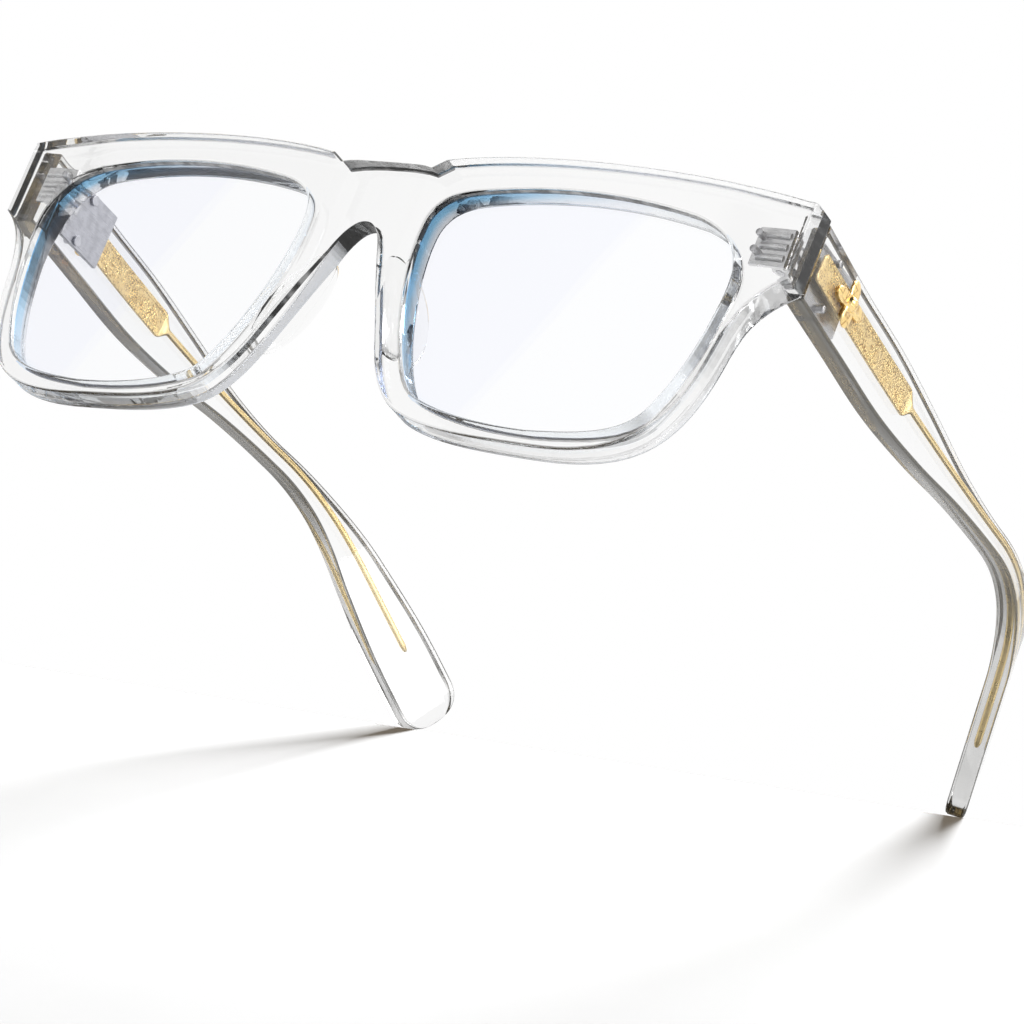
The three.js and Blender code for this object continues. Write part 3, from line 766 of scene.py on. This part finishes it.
# Rings of points joined one after another, each ring drawn out of the last
def loft(rings, layerName=None, valueAt=None):
    bm = bmesh.new()
    layer = bm.verts.layers.float.new(layerName) if layerName else None
    bmesh.ops.create_circle(bm, segments=len(rings[0]), radius=1)
    bm.verts.ensure_lookup_table()
    ring, edges = bm.verts[:], bm.edges[:]
    for number, spots in enumerate(rings):
        if number:
            made = bmesh.ops.extrude_edge_only(bm, edges=edges)["geom"]
            edges = [item for item in made if isinstance(item, bmesh.types.BMEdge) and item.is_boundary]
            fresh = {item for item in made if isinstance(item, bmesh.types.BMVert)}
            ring = [partner(vert, fresh) for vert in ring]
        for index, (vert, spot) in enumerate(zip(ring, spots)):
            vert.co = spot
            if layer:
                vert[layer] = valueAt(number, index)
    bmesh.ops.holes_fill(bm, edges=[edge for edge in bm.edges if edge.is_boundary])
    bmesh.ops.recalc_face_normals(bm, faces=bm.faces)
    return bm


def sweepRings(stations, sectionAt, sunk=0.0, rim=0.0):
    rings = []
    for distance in stations:
        middle, along = onLine(distance)
        across = Vector((along.y, -along.x, 0)).normalized()
        up = across.cross(along)
        halfWidth, halfHeight, rise, corner = sectionAt(distance)
        section = sectionPoints(halfWidth, halfHeight, corner, sunk, rim)
        rings.append([middle + across * x + up * (rise + z) for x, z in section])
    return rings


# The underside gets painted shade from corner to corner, and the upper corners only on their rounding
templeLookShade = {"under": 1.0, "underInner": 0.88, "corner": 0.95, "top": 0.1, "side": 0.0}
templeShade = []
for x, z in sectionPoints(1.8, 5.0, temple["rounding"]):
    if z < -4.9:
        part = "under" if x > 0 else "underInner"
    elif abs(z) > 4.6:
        part = "corner" if z < 4.95 else "top"
    else:
        part = "side"
    templeShade.append((templeLookShade[part], part in ("under", "underInner")))


def templePiece(side):
    count, tipCount, overrun = 110, 26, 1.5
    body = templeLength - temple["tipRounding"]
    stations = [-overrun + (body + overrun) * index / count for index in range(count)]
    for index in range(tipCount + 1):
        stations.append(body + temple["tipRounding"] * math.sin(math.radians(90 * index / tipCount)))
    # The painted shade on the underside fades after the bend and clears towards the tip.
    fading = [1 - 0.72 * smoothStep(distance / templeLength, 0.62, 0.76) for distance in stations]

    def shadeAt(number, index):
        value, fades = templeShade[index]
        clearTip = 1 - 0.75 * smoothStep(stations[number], body - 1.5, body + 2)
        return value * clearTip * (fading[number] if fades else 1)

    bm = loft(sweepRings(stations, templeSection), "shade", shadeAt)
    rim = slicePlane(bm, (0, endpieceBack + temple["endGap"], 0), (0, 1, 0), True)
    made = bmesh.ops.holes_fill(bm, edges=rim)["faces"]
    bevelEdges(bm, [edge for face in made for edge in face.edges], temple["endBevel"])
    word = sideWord(side)
    obj = meshObject(bm, "temple_acetate_" + word)
    return settle(obj, acetateTemple, f"temple_{word}_arm", ["temple_" + word], side)


def corePiece(side):
    startEnd = core["start"] + core["startLength"]
    shoulderEnd = core["plateLength"] + core["shoulder"]
    wireEnd = coreEnd - core["wireWidth"]
    spans = (
        (core["start"], startEnd, 4), (startEnd, core["plateLength"], 40),
        (core["plateLength"], shoulderEnd, 14), (shoulderEnd, wireEnd, 70), (wireEnd, coreEnd, 8),
    )
    stations = []
    for low, high, steps in spans:
        stations += [low + (high - low) * index / steps for index in range(steps)]
    stations.append(coreEnd)
    rings = sweepRings(stations, coreSection, core["engraved"], core["rim"])
    wireFrom = core["plateLength"] + 0.5
    bm = loft(rings, "plain", lambda number, index: float(stations[number] > wireFrom))
    word = sideWord(side)
    obj = meshObject(bm, "core_gold_" + word)
    return settle(obj, goldEngraved, f"temple_{word}_arm", ["core_" + word], side)


for side in (1, -1):
    templePiece(side)
    corePiece(side)
print("temples and cores made")


# Ornament: four petals on a boss
ornament = {
    "y": 22.6, "rise": 0.1, "petalReach": 2.7, "waist": 1.9, "narrow": 0.85,
    "boss": 1.35, "pinRadius": 0.5, "pinLength": 1.4,
    "profile": ((0.0, 0.0), (0.0, 0.9), (0.08, 1.0), (0.3, 1.0), (0.42, 0.94),
                (0.55, 0.8), (0.62, 0.6), (0.56, 0.4), (0.5, 0.02)),  # height and share of the reach
}


def ornamentPiece(side):
    rings = []
    for height, share in ornament["profile"]:
        ring = []
        for index in range(96):
            angle = math.radians(index * 3.75)
            petal = ornament["petalReach"] * abs(math.cos(2 * angle)) ** 1.5
            reach = (ornament["waist"] + petal) * max(share, 0.02)
            x = reach * math.cos(angle) * ornament["narrow"]
            ring.append(Vector((x, reach * math.sin(angle), height)))
        rings.append(ring)
    petals = meshObject(loft(rings), "petals")
    ball = bmesh.new()
    bmesh.ops.create_uvsphere(ball, u_segments=32, v_segments=18, radius=ornament["boss"])
    bmesh.ops.translate(ball, vec=(0, 0, 0.35), verts=ball.verts)
    bmesh.ops.scale(ball, vec=(1, 1, 0.8), verts=ball.verts)
    slicePlane(ball, (0, 0, 0.05), (0, 0, 1), True)
    bmesh.ops.holes_fill(ball, edges=[edge for edge in ball.edges if edge.is_boundary])
    combine(petals, meshObject(ball, "boss"), "UNION")
    pin = discBmesh(ornament["pinRadius"], ornament["pinLength"], (0, 0, -0.35), "Z", 24)
    combine(petals, meshObject(pin, "pin"), "UNION")
    bm = bmeshOf(petals)
    outerX = temple["centreX"] + temple["thickness"] / 2 + hingeSizes["gap"]
    spot = (outerX, ornament["y"], hingeSizes["centreZ"] + ornament["rise"])
    moveAll(bm, Matrix.Translation(spot) @ quarterTurn("Y"))
    word = sideWord(side)
    obj = meshObject(bm, "ornament_petals_" + word)
    node = "temple_emblem_" + word
    return settle(obj, goldOrnament, f"temple_{word}_arm", [node], side)


# Hinges
leafThickness, barrelRadius = hingeSizes["leafThickness"], hingeSizes["barrelRadius"]
leafFaceY = endpieceBack - leafThickness - 0.1
frontLeafX = axisX - 1.2
pitch = hingeSizes["height"] / hingeSizes["knuckles"]
rivetSpread = {
    "front": hingeSizes["frontLeafHeight"] / 2 - 1.8,
    "temple": hingeSizes["templeLeafHeight"] / 2 - 1.1,
}


def hingeLeaf(kind):
    half, centreZ = hingeSizes[kind + "LeafHeight"] / 2, hingeSizes["centreZ"]
    halfWidth = hingeSizes["frontLeafWidth"] / 2
    leafX = innerFaceX - hingeSizes["gap"] - leafThickness
    if kind == "front":
        low = (frontLeafX - halfWidth, leafFaceY, centreZ - half)
        high = (frontLeafX + halfWidth, leafFaceY + leafThickness, centreZ + half)
    else:
        start = axisY + barrelRadius + 0.4
        low = (leafX, start, centreZ - half)
        high = (leafX + leafThickness, start + hingeSizes["templeLeafLength"], centreZ + half)
    leaf = meshObject(boxBmesh(low, high, 0.16), "leaf")
    for index in range(hingeSizes["knuckles"]):
        if (index % 2 == 0) != (kind == "front"):
            continue
        z = centreZ + (index - (hingeSizes["knuckles"] - 1) / 2) * pitch
        tall = pitch - hingeSizes["knuckleGap"]
        barrel = discBmesh(barrelRadius, tall, (axisX, axisY, z), "Z", 40, 0.1)
        if kind == "front":
            reach = barrelRadius * 0.75
            web = boxBmesh((axisX - reach, leafFaceY + 0.3, z - tall / 2),
                           (axisX + reach, axisY, z + tall / 2))
        else:
            web = boxBmesh((leafX, axisY, z - tall / 2),
                           (leafX + leafThickness, axisY + barrelRadius + 1, z + tall / 2))
        combine(leaf, meshObject(barrel, "barrel"), "UNION")
        combine(leaf, meshObject(web, "web"), "UNION")
    if kind == "front":  # ribs that anchor the leaf in the acetate
        ribLength = hingeSizes["frontLeafWidth"] - 1.4
        for step in (1, 0, -1):
            middle = (frontLeafX + 0.3, leafFaceY, centreZ + step * hingeSizes["ribPitch"])
            rib = discBmesh(hingeSizes["ribRadius"], ribLength, middle, "X", 28, 0.15)
            combine(leaf, meshObject(rib, "rib"), "UNION")
    boreRadius = hingeSizes["screwRadius"] + hingeSizes["boreGap"]
    bore = discBmesh(boreRadius, hingeSizes["height"] + 4, (axisX, axisY, centreZ), "Z", 24)
    return bmeshOf(combine(leaf, meshObject(bore, "bore"), "DIFFERENCE"))


def hingeScrew():
    top = hingeSizes["centreZ"] + hingeSizes["height"] / 2
    middle = (axisX, axisY, hingeSizes["centreZ"] + 0.2)
    shank = discBmesh(hingeSizes["screwRadius"], hingeSizes["height"] + 0.4, middle, "Z", 24, 0.08)
    head = discBmesh(barrelRadius - 0.15, 0.7, (axisX, axisY, top + 0.35), "Z", 32, 0.12)
    screw = combine(meshObject(shank, "shank"), meshObject(head, "head"), "UNION")
    slotCut = boxBmesh((axisX - 2, axisY - 0.15, top + 0.5), (axisX + 2, axisY + 0.15, top + 1))
    return bmeshOf(combine(screw, meshObject(slotCut, "slot"), "DIFFERENCE"))


def rivetPiece(kind, z):
    radius, length, cap = hingeSizes["rivetRadius"], hingeSizes["rivetLength"], hingeSizes["rivetHead"]
    if kind == "front":
        face = leafFaceY + leafThickness + 0.1
        x = frontLeafX - hingeSizes["frontLeafWidth"] / 2 + 1.2
        shank = discBmesh(radius, length, (x, face - length / 2, z), "Y", 24, 0.1)
        head = discBmesh(radius * 1.5, cap, (x, face + cap / 2, z), "Y", 28, 0.12)
    else:
        face = innerFaceX - hingeSizes["gap"] * 1.5 - leafThickness
        y = axisY + barrelRadius + 4.4
        shank = discBmesh(radius, length, (face + length / 2, y, z), "X", 24, 0.1)
        head = discBmesh(radius * 1.5, cap, (face - cap / 2, y, z), "X", 28, 0.12)
    return bmeshOf(combine(meshObject(shank, "rivet"), meshObject(head, "rivetHead"), "UNION"))


def settleSteel(bm, name, material, body, node, side):
    settle(meshObject(bm, name), material, body, [node], side)


for side in (1, -1):
    word = sideWord(side)
    arm = f"temple_{word}_arm"
    ornamentPiece(side)
    settleSteel(hingeLeaf("front"), "front_leaf_" + word, steelLeaf, "front",
                "hinge_front_leaf_" + word, side)
    settleSteel(hingeLeaf("temple"), "temple_leaf_" + word, steelTemple, arm,
                "hinge_temple_leaf_" + word, side)
    settleSteel(hingeScrew(), "screw_" + word, steelPin, "front", "hinge_screw_" + word, side)
    for index, sign in ((1, 1), (2, -1)):
        for kind, body in (("front", "front"), ("temple", arm)):
            rivet = rivetPiece(kind, hingeSizes["centreZ"] + sign * rivetSpread[kind])
            settleSteel(rivet, f"pin_{kind}_{word}_{index}", steelPin, body,
                        f"{kind}_rivet_{word}_{index}", side)
print("ornaments and hinges made")


# Floor, light, camera
stageSizes = {"slope": math.radians(38), "apron": (1.6, 0.9), "floor": 1.9,
              "fadeFrom": 0.35, "fadeTo": 0.8, "aim": (0, 0, 0.02)}


def floorMaterial(name, colour):
    material, tree = nodesOf(name)
    mottle = noise(tree, ownCoordinates(tree), 60.0, 4.0)
    shade = mixColours(tree, remap(tree, mottle, 0.3, 0.7, 0.0, 1.0), colour, [c * 0.985 for c in colour])
    paint = addNode(tree, "ShaderNodeBsdfPrincipled", {
        "Base Color": shade, "Roughness": 0.9, "Specular IOR Level": 0.0,
    })
    clear = addNode(tree, "ShaderNodeBsdfTransparent")
    where = ownCoordinates(tree)
    outward = addNode(tree, "ShaderNodeVectorMath", {0: where}, operation="LENGTH")
    edge = remap(tree, outward.outputs["Value"], stageSizes["fadeFrom"], stageSizes["fadeTo"], 0.0, 1.0)
    facing = addNode(tree, "ShaderNodeNewGeometry").outputs["Backfacing"]
    unseen = combineValues(tree, "MAXIMUM", facing, edge)
    output(tree, mixShaders(tree, unseen, paint.outputs[0], clear.outputs[0]))
    return material


def stagePlane(name, size, centre, turnX, material):
    bm = bmesh.new()
    bmesh.ops.create_grid(bm, x_segments=2, y_segments=2, size=1)
    bmesh.ops.scale(bm, vec=(size[0] / 2, size[1] / 2, 1), verts=bm.verts)
    moveAll(bm, Matrix.Translation(centre) @ Matrix.Rotation(turnX, 4, "X"))
    mesh = bpy.data.meshes.new(name)
    bm.to_mesh(mesh)
    bm.free()
    obj = bpy.data.objects.new(name, mesh)
    bpy.context.scene.collection.objects.link(obj)
    mesh.materials.append(material)
    return obj


tipY = cadBox[1].y - 0.0065
paleFloor = floorMaterial("paleFloor", (0.07, 0.07, 0.07))
paleApron = floorMaterial("paleApron", (0.12, 0.12, 0.12))
floorSize, slope = (stageSizes["floor"], stageSizes["floor"]), stageSizes["slope"]
floor = stagePlane("floor", floorSize, (0, 0, floorLevel - 0.0002), 0, paleFloor)
downSlope = stageSizes["apron"][1] / 2
apronCentre = (0, tipY - math.cos(slope) * downSlope, floorLevel - math.sin(slope) * downSlope)
apron = stagePlane("apron", stageSizes["apron"], apronCentre, slope, paleApron)


def lamp(name, spot, energy, size):
    data = bpy.data.lights.new(name, "AREA")
    data.energy = energy
    data.shape = "RECTANGLE"
    data.size, data.size_y = size
    obj = bpy.data.objects.new(name, data)
    bpy.context.scene.collection.objects.link(obj)
    obj.location = spot
    obj.rotation_mode = "QUATERNION"
    obj.rotation_quaternion = (Vector(stageSizes["aim"]) - Vector(spot)).to_track_quat("-Z", "Y")
    return obj


lamp("keyPanel", (0.5, 0.3, 0.95), 5.0, (0.42, 0.42))
floorPanel = lamp("floorPanel", (0.15, 0.25, 1.05), 178.0, (0.5, 0.5))  # lights the floor alone
onlyFloor = bpy.data.collections.new("onlyFloor")
onlyFloor.objects.link(floor)
onlyFloor.objects.link(apron)
floorPanel.light_linking.receiver_collection = onlyFloor
lamp("sidePanel", (0.95, -0.2, 0.45), 4.0, (0.8, 0.5))

world = bpy.data.worlds.new("studio")
bpy.context.scene.world = world
world.use_nodes = True
tree = world.node_tree
tree.nodes.clear()
direction = addNode(tree, "ShaderNodeTexCoord").outputs["Generated"]


# A dark flag in the studio, softly bounded, azimuth 0 towards -Y and 90 towards +X
def darkPatch(azimuth, elevation, inner, outer, depth):
    a, e = math.radians(azimuth), math.radians(elevation)
    axis = (math.sin(a) * math.cos(e), -math.cos(a) * math.cos(e), math.sin(e))
    toward = addNode(tree, "ShaderNodeVectorMath", {0: direction, 1: axis}, operation="DOT_PRODUCT")
    low, high = math.cos(math.radians(outer)), math.cos(math.radians(inner))
    return remap(tree, toward.outputs["Value"], low, high, 1.0, 1.0 - depth)


flags = [darkPatch(35, 42, 22, 48, 0.93), darkPatch(-60, 35, 12, 30, 0.35), darkPatch(0, 90, 10, 26, 0.6)]
light = flags[0]
for flag in flags[1:]:
    light = combineValues(tree, "MULTIPLY", light, flag)
studio = addNode(tree, "ShaderNodeBackground", {"Color": (1, 1, 1, 1), "Strength": light})
plain = addNode(tree, "ShaderNodeBackground", {"Color": (1, 1, 1, 1), "Strength": 1.0})
seen = addNode(tree, "ShaderNodeLightPath").outputs["Is Camera Ray"]
sky = mixShaders(tree, seen, studio.outputs[0], plain.outputs[0])
addNode(tree, "ShaderNodeOutputWorld", {"Surface": sky})

view = {
    "place": (0.38866, -0.560097, -0.208949), "lens": 154.692,
    "turn": (0.51974454, 0.80353454, 0.10858849, 0.26908438),
}
cameraData = bpy.data.cameras.new("camera")
cameraData.lens = view["lens"]
cameraData.sensor_width = 36
cameraData.clip_start, cameraData.clip_end = 0.01, 20
camera = bpy.data.objects.new("camera", cameraData)
bpy.context.scene.collection.objects.link(camera)
camera.location = view["place"]
camera.rotation_mode = "QUATERNION"
camera.rotation_quaternion = Quaternion(view["turn"])
bpy.context.scene.camera = camera
bpy.context.scene.view_settings.view_transform = "Standard"

print("scene ready")
